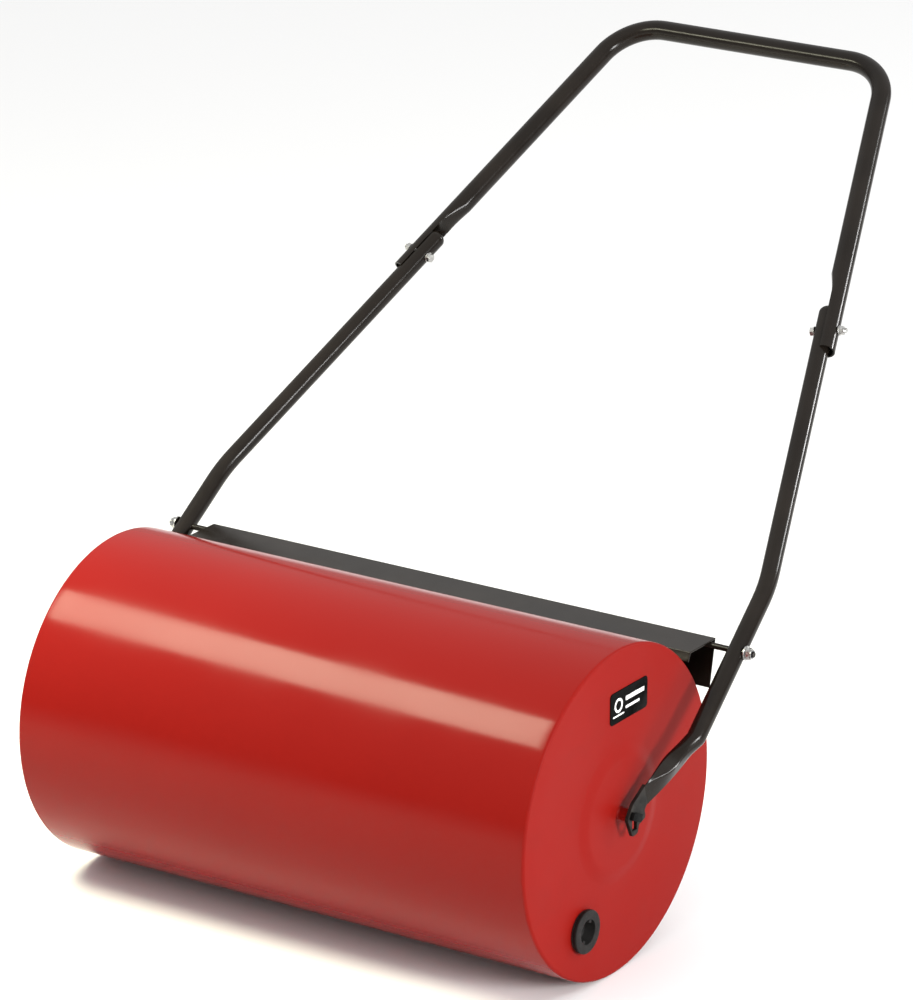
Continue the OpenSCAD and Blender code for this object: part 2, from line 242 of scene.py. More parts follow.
class Shader:
    """A node material with a few plain helpers."""

    def __init__(self, name, colour, roughness, metallic=0.0):
        self.material = bpy.data.materials.new(name)
        self.material.use_nodes = True
        self.tree = self.material.node_tree
        self.surface = self.tree.nodes["Principled BSDF"]
        self.surface.inputs["Base Color"].default_value = (*colour, 1)
        self.surface.inputs["Roughness"].default_value = roughness
        self.surface.inputs["Metallic"].default_value = metallic
        self.place = self.node("ShaderNodeTexCoord").outputs["Object"]

    def node(self, kind, **values):
        made = self.tree.nodes.new(kind)
        for key, value in values.items():
            setattr(made, key, value)
        return made

    def link(self, a, b):
        self.tree.links.new(a, b)

    def noise(self, scale, detail=3.0, stretch=(1, 1, 1)):
        """Noise between 0 and 1 in object space."""
        spread = self.node("ShaderNodeMapping")
        spread.inputs["Scale"].default_value = stretch
        self.link(self.place, spread.inputs["Vector"])
        made = self.node("ShaderNodeTexNoise")
        made.inputs["Scale"].default_value = scale
        made.inputs["Detail"].default_value = detail
        self.link(spread.outputs["Vector"], made.inputs["Vector"])
        return made.outputs["Fac"]

    def ramp(self, value, low, high, out_low=0.0, out_high=1.0):
        """Maps value from low..high to out_low..out_high."""
        made = self.node("ShaderNodeMapRange")
        made.interpolation_type = "SMOOTHSTEP"
        for key, number in zip(("From Min", "From Max", "To Min", "To Max"), (low, high, out_low, out_high)):
            made.inputs[key].default_value = number
        self.link(value, made.inputs["Value"])
        return made.outputs["Result"]

    def blend(self, factor, a, b):
        """Colour mix of two colours or sockets."""
        made = self.node("ShaderNodeMix", data_type="RGBA")
        self.link(factor, made.inputs["Factor"])
        for key, value in (("A", a), ("B", b)):
            socket = [s for s in made.inputs if s.name == key and s.type == "RGBA"][0]
            if isinstance(value, tuple):
                socket.default_value = (*value, 1)
            else:
                self.link(value, socket)
        return [s for s in made.outputs if s.type == "RGBA"][0]

    def colour(self, socket):
        self.link(socket, self.surface.inputs["Base Color"])

    def roughness(self, socket):
        self.link(socket, self.surface.inputs["Roughness"])

    def bump(self, height, depth, strength=1.0):
        made = self.node("ShaderNodeBump")
        made.inputs["Strength"].default_value = strength
        made.inputs["Distance"].default_value = depth
        self.link(height, made.inputs["Height"])
        if self.surface.inputs["Normal"].links:
            self.link(self.surface.inputs["Normal"].links[0].from_socket, made.inputs["Normal"])
        self.link(made.outputs["Normal"], self.surface.inputs["Normal"])


def red_enamel(name, roughness, shine):
    """Red enamel over rolled sheet: slight waves, orange peel, and duller paint round the rims."""
    s = Shader(name, RED, roughness)
    parts = s.node("ShaderNodeSeparateXYZ")
    s.link(s.place, parts.inputs["Vector"])
    reach = s.node("ShaderNodeMath", operation="ABSOLUTE")
    s.link(parts.outputs["X"], reach.inputs[0])
    rim = s.ramp(reach.outputs[0], DRUM_HALF - 14 * MM, DRUM_HALF - 2 * MM)
    rubbed = s.node("ShaderNodeMath", operation="MULTIPLY")
    s.link(rim, rubbed.inputs[0])
    s.link(s.ramp(s.noise(26, 5), 0.48, 0.7), rubbed.inputs[1])
    tone = s.blend(s.ramp(s.noise(3.2, 4), 0.3, 0.7), RED, RED_LIGHT)
    tone = s.blend(s.ramp(rubbed.outputs[0], 0.0, 1.0, 0.0, 0.25), tone, RED_DULL)
    s.colour(tone)
    s.roughness(s.ramp(s.noise(9, 6), 0.3, 0.7, roughness, roughness + 0.08))
    s.bump(s.noise(2.6, 2, (0.5, 1, 1)), 0.5 * MM, 0.25)
    s.bump(s.noise(420, 2), 0.05 * MM, 0.15)
    s.surface.inputs["Specular IOR Level"].default_value = shine
    return s.material


def frame_paint():
    """Semi-gloss brown-black powder coat with a fine grain."""
    s = Shader("frame_paint", (0.012, 0.0092, 0.0072), 0.2)
    s.colour(s.blend(s.ramp(s.noise(14, 5), 0.35, 0.7), (0.0080, 0.0060, 0.0046), (0.0120, 0.0090, 0.0070)))
    s.roughness(s.ramp(s.noise(60, 4), 0.3, 0.7, 0.16, 0.22))
    s.bump(s.noise(900, 2), 0.04 * MM, 0.15)
    s.surface.inputs["Specular IOR Level"].default_value = 0.16
    return s.material


def foot_paint():
    """The frame's paint where the press has dulled it on the flat feet."""
    s = Shader("foot_paint", (0.009, 0.0075, 0.0064), 0.45)
    s.colour(s.blend(s.ramp(s.noise(90, 5), 0.35, 0.65), (0.0060, 0.0052, 0.0045), (0.0160, 0.0135, 0.0115)))
    s.roughness(s.ramp(s.noise(150, 4), 0.3, 0.7, 0.38, 0.55))
    s.bump(s.noise(240, 4), 0.15 * MM, 0.5)
    s.surface.inputs["Specular IOR Level"].default_value = 0.10
    return s.material


def axle_paint():
    """Dull black of the axle stubs."""
    s = Shader("axle_black", (0.003, 0.003, 0.003), 0.6)
    s.roughness(s.ramp(s.noise(180, 4), 0.3, 0.7, 0.5, 0.68))
    s.bump(s.noise(1100, 3), 0.04 * MM, 0.3)
    s.surface.inputs["Specular IOR Level"].default_value = 0.06
    return s.material


def zinc_plate():
    """Bright zinc plating, faintly uneven, with turning marks."""
    s = Shader("zinc", (0.46, 0.46, 0.45), 0.26, 1.0)
    s.colour(s.blend(s.ramp(s.noise(300, 4), 0.3, 0.75), (0.46, 0.46, 0.45), (0.34, 0.33, 0.32)))
    s.roughness(s.ramp(s.noise(500, 5), 0.3, 0.7, 0.22, 0.34))
    s.bump(s.noise(1500, 2, (6, 1, 1)), 0.02 * MM, 0.15)
    return s.material


def plug_plastic():
    """Black moulded plastic with a fine spark grain."""
    s = Shader("plug_plastic", (0.022, 0.023, 0.023), 0.5)
    s.colour(s.blend(s.ramp(s.noise(80, 4), 0.35, 0.7), (0.009, 0.0085, 0.008), (0.014, 0.013, 0.0125)))
    s.roughness(s.ramp(s.noise(200, 4), 0.3, 0.7, 0.42, 0.58))
    s.bump(s.noise(2400, 2), 0.03 * MM, 0.5)
    s.surface.inputs["Specular IOR Level"].default_value = 0.12
    return s.material


def rubber():
    s = Shader("gasket_rubber", (0.012, 0.012, 0.012), 0.8)
    s.roughness(s.ramp(s.noise(150, 4), 0.3, 0.7, 0.7, 0.9))
    s.bump(s.noise(1200, 3), 0.03 * MM, 0.4)
    return s.material


def bare_steel():
    s = Shader("bare_steel", (0.45, 0.45, 0.46), 0.4, 1.0)
    s.roughness(s.ramp(s.noise(120, 5), 0.3, 0.7, 0.3, 0.5))
    s.bump(s.noise(700, 3, (8, 1, 1)), 0.03 * MM, 0.3)
    return s.material


def nylon():
    s = Shader("nylon", (0.02, 0.03, 0.06), 0.45)
    s.roughness(s.ramp(s.noise(400, 3), 0.3, 0.7, 0.38, 0.52))
    return s.material


def label_film():
    """Glossy printed film, nearly black."""
    s = Shader("label_film", (0.002, 0.002, 0.002), 0.22)
    s.roughness(s.ramp(s.noise(70, 5), 0.3, 0.7, 0.18, 0.30))
    s.bump(s.noise(260, 2), 0.02 * MM, 0.2)
    s.surface.inputs["Specular IOR Level"].default_value = 0.02
    return s.material


def label_ink():
    s = Shader("label_ink", (0.80, 0.80, 0.79), 0.35)
    s.colour(s.blend(s.ramp(s.noise(900, 3), 0.3, 0.7), (0.80, 0.80, 0.79), (0.70, 0.70, 0.69)))
    return s.material


# ---- drum ----

def cap_profile():
    """(x, r) of an end cap's skin, from the skirt's open edge over the rim to the stub, and back inside."""
    rim = [(SKIRT_X, SKIN_R)]
    rim += arc(DRUM_HALF - RIM_R, SKIN_R - RIM_R, RIM_R, 90, 0, 16)
    foot = BOSS_R + BOSS_SLOPE
    slope = [(DRUM_HALF + BOSS_RISE * smooth(i / 10), foot - BOSS_SLOPE * i / 10) for i in range(11)]
    middle = [(DRUM_HALF + BOSS_RISE, r * MM) for r in (40, 28, 18)] + [(DRUM_HALF + BOSS_RISE, SPIGOT_R)]
    flat = [(DRUM_HALF, r * MM) for r in (135, 110, 85)]
    front = [(DRUM_HALF + BOSS_RISE, SPIGOT_R), (DRUM_HALF + BOSS_RISE, BOSS_R), (DRUM_HALF, foot)]
    inside = [(x - SHEET, r) for x, r in front]
    inside += [(DRUM_HALF - SHEET, DRUM_R - RIM_R), (DRUM_HALF - RIM_R, DRUM_R - SHEET)]
    inside += [(SKIRT_X, DRUM_R - SHEET)]
    return rim + flat + slope + middle + inside


def drum_shell(paint):
    def make(bm):
        out = [(SKIRT_X * (i / 12 * 2 - 1), SKIN_R) for i in range(13)]
        back = [(x, DRUM_R - SHELL_WALL) for x in (SKIRT_X, -SKIRT_X)]
        rows = lathe(bm, out + back, AXIS)
        join_rows(bm, rows[-1], rows[0])
    shell = new_object("drum_skin", make, "drum", paint)
    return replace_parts(shell, "drum_shell")


def end_cap(side, name, node, paint, side_paint):
    def make(bm):
        rows = lathe(bm, cap_profile(), AXIS)
        join_rows(bm, rows[-1], rows[0])
        for v in bm.verts:
            v.co.x *= side
    cap = new_object(name, make, "drum", paint, sharp=50)
    if side > 0:
        cut_round_hole(cap, filler_centre(), SOCKET_R)
    cap.data.materials.append(side_paint)
    for face in cap.data.polygons:
        if abs(face.center.x) < DRUM_HALF - 0.7 * RIM_R:
            face.material_index = 1
    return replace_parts(cap, node)


def cut_round_hole(piece, centre, r):
    """Cuts a round hole through the end cap, along X, and keeps the cut mesh."""
    mesh = bpy.data.meshes.new("cutter")
    bm = bmesh.new()
    rows = lathe(bm, [(SKIRT_X, r), (DRUM_HALF + 5 * MM, r)], centre, steps=96)
    bm.faces.new(rows[0])
    bm.faces.new(rows[-1])
    bmesh.ops.recalc_face_normals(bm, faces=bm.faces)
    bm.to_mesh(mesh)
    bm.free()
    cutter = bpy.data.objects.new("cutter", mesh)
    bpy.context.scene.collection.objects.link(cutter)
    cut = piece.modifiers.new("hole", "BOOLEAN")
    cut.operation = "DIFFERENCE"
    cut.solver = "EXACT"
    cut.object = cutter
    bpy.context.view_layer.update()
    shaped = piece.evaluated_get(bpy.context.evaluated_depsgraph_get())
    piece.data = bpy.data.meshes.new_from_object(shaped)
    piece.modifiers.remove(cut)
    bpy.data.objects.remove(cutter)
    piece.data.set_sharp_from_angle(angle=math.radians(50))


def filler_centre():
    return Vector((0, FILLER_OFFSET * math.cos(FILLER_TURN), DRUM_R + FILLER_OFFSET * math.sin(FILLER_TURN)))


def filler_plug(plastic):
    """Flange, stem and keyed recess of the plug."""
    def make(bm):
        face = FLANGE_X + FLANGE_T
        edge = 0.9 * MM
        lip = 0.5 * MM
        floor_x = face - RECESS_DEPTH
        profile = [(STEM_END, 0.5 * MM), (STEM_END, STEM_R), (FLANGE_X, STEM_R)]
        profile += [(FLANGE_X, FLANGE_R - 0.3 * MM), (FLANGE_X + 0.3 * MM, FLANGE_R)]
        profile += arc(face - edge, FLANGE_R - edge, edge, 90, 0, 6)
        profile += [(face, 17 * MM)]
        profile += arc(face - lip, RECESS_R + lip, lip, 0, -90, 4)
        profile += [(floor_x + 0.6 * MM, RECESS_R), (floor_x, RECESS_R - 0.6 * MM), (floor_x, 0.5 * MM)]
        rows = lathe(bm, profile, filler_centre(), steps=96)
        bm.faces.new(rows[0])
        bm.faces.new(rows[-1])
    plug = new_object("filler_plug_body", make, "plug", plastic, sharp=50)
    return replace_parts(plug, "filler_plug")


def plug_keys(plastic):
    """The two keys that stand inward in the plug's recess."""
    def make(bm):
        deep, thick, wide = 10.5 * MM, 3.4 * MM, 5 * MM
        sunk = 6.6 * MM
        out = 10.5 * MM
        centre = filler_centre()
        turn = Matrix.Rotation(FILLER_TURN, 4, "X")
        size = Matrix.Diagonal((deep, thick, wide, 1))
        for side in (-1, 1):
            place = Vector((FLANGE_X + FLANGE_T - sunk, side * out, 0))
            grown = bmesh.ops.create_cube(bm, size=1)
            stand = Matrix.Translation(centre) @ turn @ Matrix.Translation(place) @ size
            bmesh.ops.transform(bm, matrix=stand, verts=grown["verts"])
        bmesh.ops.bevel(bm, geom=bm.edges[:], offset=0.4 * MM, segments=2, affect="EDGES")
    return new_object("filler_plug_keys", make, "plug", plastic)


def stub_head(side, name, node, paint):
    """Journal and hammer head of an axle stub."""
    def make(bm):
        outer = FOOT_X + FOOT_T + STUB_GAP
        profile = [(STUB_ROOT, 0.5 * MM), (STUB_ROOT, JOURNAL_R), (outer, JOURNAL_R)]
        lathe(bm, profile, AXIS, steps=64)
        half = HEAD_LEN / 2
        flat = math.sqrt(half ** 2 - (HEAD_W / 2) ** 2)
        bow = math.degrees(math.asin(HEAD_W / HEAD_LEN))
        outline = arc(0, 0, half, -bow, bow, 8) + arc(0, 0, half, 180 - bow, 180 + bow, 8)
        edge = 0.5 * MM
        levels = [(outer, 1.0), (outer + HEAD_T - edge, 1.0), (outer + HEAD_T - edge * 0.3, 0.975),
                  (outer + HEAD_T, 0.93)]
        rings = []
        for x, shrink in levels:
            ring = []
            for y, z in outline:
                tight = (shrink, 1 - (1 - shrink) * flat / (HEAD_W / 2))
                p = Matrix.Rotation(HEAD_TURN, 4, "X") @ Vector((0, y * tight[0], z * tight[1]))
                ring.append(Vector((x, p.y, p.z)) + AXIS)
            rings.append(ring)
        rows = skin_rings(bm, rings)
        bm.faces.new(rows[0])
        bm.faces.new(rows[-1])
        for v in bm.verts:
            v.co.x *= side
    stub = new_object(name, make, "drum", paint, sharp=35)
    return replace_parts(stub, node)


def stub_collar(side, name, paint):
    """Spigot and collar of an axle stub, painted with the drum."""
    def make(bm):
        inner = FOOT_X - STUB_GAP
        start = DRUM_HALF + BOSS_RISE
        weld = 1.2 * MM
        chamfer = 0.8 * MM
        bore = JOURNAL_R + 0.01 * MM
        root = STUB_ROOT + 0.1 * MM
        profile = [(root, bore), (root, SPIGOT_R), (start, SPIGOT_R)]
        profile += [(start, COLLAR_R + weld), (start + weld, COLLAR_R), (inner - chamfer, COLLAR_R)]
        profile += [(inner, COLLAR_R - chamfer), (inner, bore), (root, bore)]
        lathe(bm, profile, AXIS, steps=64)
        for v in bm.verts:
            v.co.x *= side
    return new_object(name, make, "drum", paint, sharp=35)


# ---- label ----

def rounded_rect(w, h, r, steps=6):
    """Outline of a rounded rectangle round the origin."""
    x = w / 2 - r
    y = h / 2 - r
    return (arc(x, y, r, 0, 90, steps) + arc(-x, y, r, 90, 180, steps)
            + arc(-x, -y, r, 180, 270, steps) + arc(x, -y, r, 270, 360, steps))


def label_plate(film):
    def make(bm):
        levels = [(0, 0), (0.45, 0), (0.7, 0.12), (0.75, 0.4)]
        rings = []
        for rise, inset in levels:
            step = inset * MM
            outline = rounded_rect(LABEL_W - 2 * step, LABEL_H - 2 * step, LABEL_ROUND - step)
            rings.append([LABEL + Vector((rise * MM, a, b)) for a, b in outline])
        rows = skin_rings(bm, rings)
        bm.faces.new(rows[-1])
        bm.faces.new(rows[0])
    plate = new_object("label_plate", make, "drum", film)
    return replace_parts(plate, "badge")


def flat_mark(bm, outline, hole=None):
    """A thin raised mark on the label, from an outline in (across, up) metres."""
    low, high = 0.5 * MM, 0.79 * MM
    rings = [[LABEL + Vector((x, a, b)) for a, b in outline] for x in (low, high)]
    if hole:
        rings.append([LABEL + Vector((high, a, b)) for a, b in hole])
        rings.append([LABEL + Vector((low, a, b)) for a, b in hole])
        skin_rings(bm, rings)
        return
    rows = skin_rings(bm, rings)
    bm.faces.new(rows[-1])


def label_marks(ink):
    """A generic mark: a ring on a ground line beside two plain bars."""
    def make(bm):
        ring = [(-18 * MM + a, 1.5 * MM + b) for a, b in arc(0, 0, 7 * MM, 0, 352, 44)]
        hole = [(-18 * MM + a, 1.5 * MM + b) for a, b in arc(0, 0, 4.6 * MM, 0, 352, 44)]
        flat_mark(bm, ring, hole)
        for across, up, w, h in ((-18, -8.2, 19, 1.6), (10, 4.5, 32, 4.2), (6, -4, 24, 2.6)):
            bar = [(across * MM + a, up * MM + b) for a, b in rounded_rect(w * MM, h * MM, 0.7 * MM, 3)]
            flat_mark(bm, bar)
    return new_object("label_marks", make, "drum", ink)


# ---- tubes ----

def shell_ring(point, r_out, r_in, lip, side, blend_round=0.0):
    """A ring of points round a half shell that is open towards side.

    lip is the angle, from the shell's back, at which its two skins end.
    blend_round swells the inner skin out to the tube's round wall on the open side.
    """
    half = RING // 2
    ring = []
    for i in range(half + 1):
        a = mix(-lip, lip, i / half)
        ring.append((-side * r_out * math.cos(a), r_out * math.sin(a)))
    for i in range(1, half):
        k = i / half
        a = mix(lip, -lip, k)
        dish = (-side * r_in * math.cos(a), r_in * math.sin(a))
        b = mix(lip, 2 * math.pi - lip, k)
        wall = (-side * r_out * math.cos(b), r_out * math.sin(b))
        ring.append((mix(dish[0], wall[0], blend_round), mix(dish[1], wall[1], blend_round)))
    return [point(a, b) for a, b in ring]


def close_shell(bm, row):
    """Faces across the wall at the open end of a half shell."""
    for i in range(RING // 2):
        quad = [row[i], row[i + 1], row[(RING - i - 1) % RING], row[(RING - i) % RING]]
        if len(set(quad)) > 2:
            bm.faces.new(list(dict.fromkeys(quad)))


def round_ring(point, r, side, lip):
    return shell_ring(point, r, r - TUBE_WALL, lip, side, 1.0)


def lip_angle(r, lip_x):
    """Angle from a shell's back to a lip lip_x past the axis."""
    return math.acos(max(-1.0, min(1.0, -lip_x / r)))


def lower_rings():
    """Rings of the lower tube from its kink up to the end of its tongue."""
    lip = lip_angle(LOWER_R, LIP_LOWER)
    rings = []

    def at(u, s, tilt):
        return lambda a, t: handle_point(u + a * math.cos(tilt), s + a * math.sin(tilt), t)

    turn = SPLAY - FOOT_TILT
    tangent = BEND_R * math.tan(turn / 2)
    for k in range(13):
        s = mix(KINK_S, BEND_S - tangent, k / 12)
        u = BEND_U + (BEND_S - s) * math.tan(FOOT_TILT)
        rings.append(round_ring(at(u, s, FOOT_TILT), LOWER_R, 1, lip))
    start_u = BEND_U + tangent * math.sin(FOOT_TILT)
    start_s = BEND_S - tangent * math.cos(FOOT_TILT)
    for k in range(1, 13):
        tilt = FOOT_TILT + turn * k / 12
        u = start_u - BEND_R * (math.cos(FOOT_TILT) - math.cos(tilt))
        s = start_s + BEND_R * (math.sin(tilt) - math.sin(FOOT_TILT))
        rings.append(round_ring(at(u, s, tilt), LOWER_R, 1, lip))

    def leg(z):
        return lambda a, t: leg_point(z, a, t)

    def spoon(z, size):
        return lambda a, t: leg_point(z, LIP_LOWER + (a - LIP_LOWER) * size, t * size)

    length = (BOLT_S - BEND_S) / math.cos(SPLAY) - tangent
    for k in range(1, 17):
        z = mix(-length, CRUSH_START, k / 16)
        rings.append(round_ring(leg(z), LOWER_R, 1, lip))
    for k in range(1, 9):
        z = mix(CRUSH_START, CRUSH_END, k / 8)
        rings.append(shell_ring(leg(z), LOWER_R, LOWER_R - DISH_WALL, lip, 1, 1 - smooth(k / 8)))
    for k in range(1, 21):
        z = mix(CRUSH_END, TONGUE_LAP - 0.05 * MM, (k / 20) ** 0.6)
        rise = max(0.0, z - (TONGUE_LAP - TONGUE_ROUND))
        size = (LOWER_R - TONGUE_ROUND + math.sqrt(TONGUE_ROUND ** 2 - rise ** 2)) / LOWER_R
        rings.append(shell_ring(spoon(z, size), LOWER_R, LOWER_R - DISH_WALL, lip, 1))
    return rings


def follow(k, stops):
    """Eased value at k along (k, value) stops."""
    for (k0, v0), (k1, v1) in zip(stops, stops[1:]):
        if k <= k1:
            return mix(v0, v1, smooth((k - k0) / (k1 - k0)))
    return stops[-1][1]


def foot_section(k):
    """(across, t) ring of the foot's taper: 0 is the round tube and 1 is pressed flat.

    A crease runs down the outboard side, out from the front to the middle and back to the front.
    """
    lip = lip_angle(LOWER_R, LIP_LOWER)
    half = RING // 2
    press = smooth(k * 2.2)
    wide = mix(LOWER_R, 10.2 * MM, smooth(k)) + 3.0 * MM * math.sin(math.pi * k) ** 1.5
    deep = mix(LOWER_R + LIP_LOWER, FOOT_T - 0.1 * MM, smooth((k - 0.1) / 0.9))
    face = FOOT_T / 2 - 0.05 * MM
    front = Vector((follow(k, ((0, LIP_LOWER), (0.5, -2.5 * MM), (1, face))),
                    follow(k, ((0, -LOWER_R), (0.5, -9.3 * MM), (1, -10.2 * MM)))))
    back = Vector((follow(k, ((0, LIP_LOWER), (0.5, 1.0 * MM), (1, face))), wide))
    ridge = Vector((follow(k, ((0, 4.5 * MM), (0.5, 6.6 * MM), (1, face))),
                    follow(k, ((0, -7.8 * MM), (0.5, -0.5 * MM), (1, -9.6 * MM)))))
    ring = []
    for i in range(RING):
        if i <= half:
            a = mix(-lip, lip, i / half)
            b = math.pi * (i / half - 0.5)
            bed = Vector((mix(front.x, back.x, i / half) - deep * math.cos(b),
                          mix(front.y, back.y, 0.5 + 0.5 * math.sin(b))))
        else:
            a = mix(lip, 2 * math.pi - lip, (i - half) / half)
            j = 2 * (i - half) / half
            bed = back.lerp(ridge, j) if j <= 1 else ridge.lerp(front, j - 1)
            if j == 1:
                bed = bed.lerp((back + front) / 2, 0.035)
        pipe = Vector((-LOWER_R * math.cos(a), LOWER_R * math.sin(a)))
        ring.append(tuple(pipe.lerp(bed, press)))
    return ring


def taper_rings():
    """Rings of the taper from the fold above the flat foot up to the kink."""
    fold_top = Vector((FOOT_X + FOOT_T / 2, 16.9 * MM, 23.4 * MM)) + AXIS
    fold_low = Vector((FOOT_X + FOOT_T / 2, 22.0 * MM, 6.4 * MM)) + AXIS
    fold = (fold_top + fold_low) / 2
    kink_u = BEND_U + (BEND_S - KINK_S) * math.tan(FOOT_TILT)
    kink = handle_point(kink_u, KINK_S)
    back = Vector((0, math.cos(LEAN), -math.sin(LEAN)))
    fold_back = (fold_low - fold_top).normalized()
    rings = []
    steps = 22
    for i in range(steps + 1):
        k = i / steps
        centre = fold.lerp(kink, k)
        across = Vector((1, 0, 0))
        along_t = fold_back.lerp(back, smooth(k)).normalized()
        rings.append([centre + across * a + along_t * t for a, t in foot_section(1 - k)])
    return rings


def fillet(points, r, steps=5):
    """Rounds the corners of a closed outline."""
    out = []
    n = len(points)
    for i in range(n):
        p, a, b = Vector(points[i]), Vector(points[i - 1]), Vector(points[(i + 1) % n])
        da, db = (a - p).normalized(), (b - p).normalized()
        reach = min(r, (a - p).length * 0.45, (b - p).length * 0.45)
        s, e = p + da * reach, p + db * reach
        for j in range(steps + 1):
            k = j / steps
            out.append(tuple(s.lerp(p, k).lerp(p.lerp(e, k), k)))
    return out


def foot_plate(name, side, paint):
    """The flat foot: a trimmed outline with the slot that the hammer head passes."""
    outline = [(19.6, 26.0), (6.7, 18.6), (-2.5, 13.8), (-12.3, 0.4), (-3.1, -19.1), (5.8, -18), (8.2, -10),
               (18.1, -7.5), (19.3, -3.9), (17.1, 0.8), (24.0, 7.5)]
    r = JOURNAL_R / MM + 0.06
    slot = arc(0, 0, r, 0, 180, 16) + [(-r, -13.3), (r, -13.3)]
    curve = bpy.data.curves.new(name, "CURVE")
    curve.dimensions = "2D"
    curve.fill_mode = "BOTH"
    edge = 0.35 * MM
    curve.extrude = FOOT_T / 2 - edge
    curve.bevel_depth = edge
    curve.offset = -edge
    curve.bevel_resolution = 2
    for points in (fillet(outline, 2.2), slot):
        spline = curve.splines.new("POLY")
        spline.points.add(len(points) - 1)
        for target, (y, z) in zip(spline.points, points):
            target.co = (y * MM, z * MM, 0, 1)
        spline.use_cyclic_u = True
    shape = bpy.data.objects.new(name, curve)
    bpy.context.scene.collection.objects.link(shape)
    mesh = bpy.data.meshes.new_from_object(shape.evaluated_get(bpy.context.evaluated_depsgraph_get()))
    bpy.data.objects.remove(shape)
    stand = Matrix(((0, 0, 1, FOOT_X + FOOT_T / 2), (1, 0, 0, 0), (0, 1, 0, DRUM_R), (0, 0, 0, 1)))
    mesh.transform(stand)
    if side < 0:
        mesh.transform(Matrix.Diagonal((-1, 1, 1, 1)))
        mesh.flip_normals()
    mesh.materials.clear()
    mesh.materials.append(paint)
    mesh.shade_smooth()
    mesh.set_sharp_from_angle(angle=math.radians(40))
    piece = bpy.data.objects.new(name, mesh)
    bpy.context.scene.collection.objects.link(piece)
    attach(piece, "handle_frame")
    return piece


def lower_tube(side, name, node, paint):
    def make(bm):
        rings = taper_rings()[:-1] + lower_rings()
        rows = skin_rings(bm, rings)
        bm.faces.new(rows[0])
        close_shell(bm, rows[-1])
        for v in bm.verts:
            v.co.x *= side
    tube = new_object(name, make, "handle_frame", paint, sharp=40)
    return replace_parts(tube, node)


def upper_rings():
    """Rings of one half of the upper handle, from its open lower end to the middle of the grip bar."""
    lip = lip_angle(UPPER_R, AXIS_GAP - LIP_UPPER)
    rings = []

    def leg(z):
        return lambda a, t: leg_point(z, AXIS_GAP + a, t)

    def ring(z, k):
        return shell_ring(leg(z), UPPER_R, UPPER_R - TUBE_WALL, lip, -1, k)

    for k in range(9):
        rings.append(ring(mix(-LAP, TONGUE_LAP, k / 8), 0.0))
    for k in range(1, 15):
        part = k / 14
        swell = min(part * 2.4, 0.6) + max(0.0, part - 0.25) * 0.4 / 0.75
        rings.append(ring(mix(TONGUE_LAP, DISH_END, part), swell))
    corner_u = bolt_u() + AXIS_GAP / math.cos(SPLAY) - (REACH - BOLT_S) * math.tan(SPLAY)
    turn = math.pi / 2 - SPLAY
    tangent = CORNER_R * math.tan(turn / 2)
    length = (REACH - BOLT_S) / math.cos(SPLAY) - AXIS_GAP * math.tan(SPLAY) - tangent
    for k in range(1, 15):
        rings.append(ring(mix(DISH_END, length, k / 14), 1.0))
    start_u = corner_u + tangent * math.sin(SPLAY)
    start_s = REACH - tangent * math.cos(SPLAY)
    cen_u = start_u - CORNER_R * math.cos(SPLAY)
    cen_s = start_s - CORNER_R * math.sin(SPLAY)

    def bend(a):
        return lambda b, t: handle_point(cen_u + (CORNER_R + b) * math.cos(a),
                                         cen_s + (CORNER_R + b) * math.sin(a), t)

    for k in range(1, 25):
        rings.append(round_ring(bend(SPLAY + turn * k / 24), UPPER_R, -1, lip))

    def bar(u):
        return lambda b, t: handle_point(u, REACH + b, t)

    for k in range(1, 9):
        rings.append(round_ring(bar((corner_u - tangent) * (1 - k / 8)), UPPER_R, -1, lip))
    return rings


def upper_handle(paint):
    def make(bm):
        rings = upper_rings()
        for side in (1, -1):
            flipped = [[Vector((p.x * side, p.y, p.z)) for p in ring] for ring in rings]
            rows = skin_rings(bm, flipped)
            close_shell(bm, rows[0])
    tube = new_object("handle_tube", make, "handle_frame", paint, sharp=38)
    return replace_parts(tube, "upper_handle")


# ---- fasteners ----

def hex_profile(bm, place, flats, height, bore=0.0, crown=0.0):
    """A chamfered hexagon standing on local Z, placed by a matrix."""
    corner = flats / 2 / math.cos(math.pi / 6)
    steps = 72
    cut = (corner - flats / 2) * 0.62

    def reach(a):
        local = (a % (math.pi / 3)) - math.pi / 6
        return flats / 2 / math.cos(local)

    rings = []
    levels = [(0.0, cut), (cut, 0.0), (height - cut, 0.0), (height, cut)]
    for z, inset in levels:
        ring = []
        for i in range(steps):
            a = 2 * math.pi * i / steps
            r = min(reach(a), corner - inset)
            ring.append(place @ Vector((r * math.cos(a), r * math.sin(a), z)))
        rings.append(ring)
    if crown:
        for r, z in ((flats * 0.46, height), (flats * 0.46, height + crown * 0.7),
                     (flats * 0.43, height + crown), (flats * 0.39, height + crown)):
            rings.append(circle_at(place, r, z, steps))
        height += crown * 0.75
    rings.append(circle_at(place, bore or 0.3 * MM, height, steps))
    if bore:
        rings.append(circle_at(place, bore, 0, steps))
    rows = skin_rings(bm, rings)
    if bore:
        join_rows(bm, rows[-1], rows[0])
    else:
        bm.faces.new(rows[-1])
        bm.faces.new(rows[0])


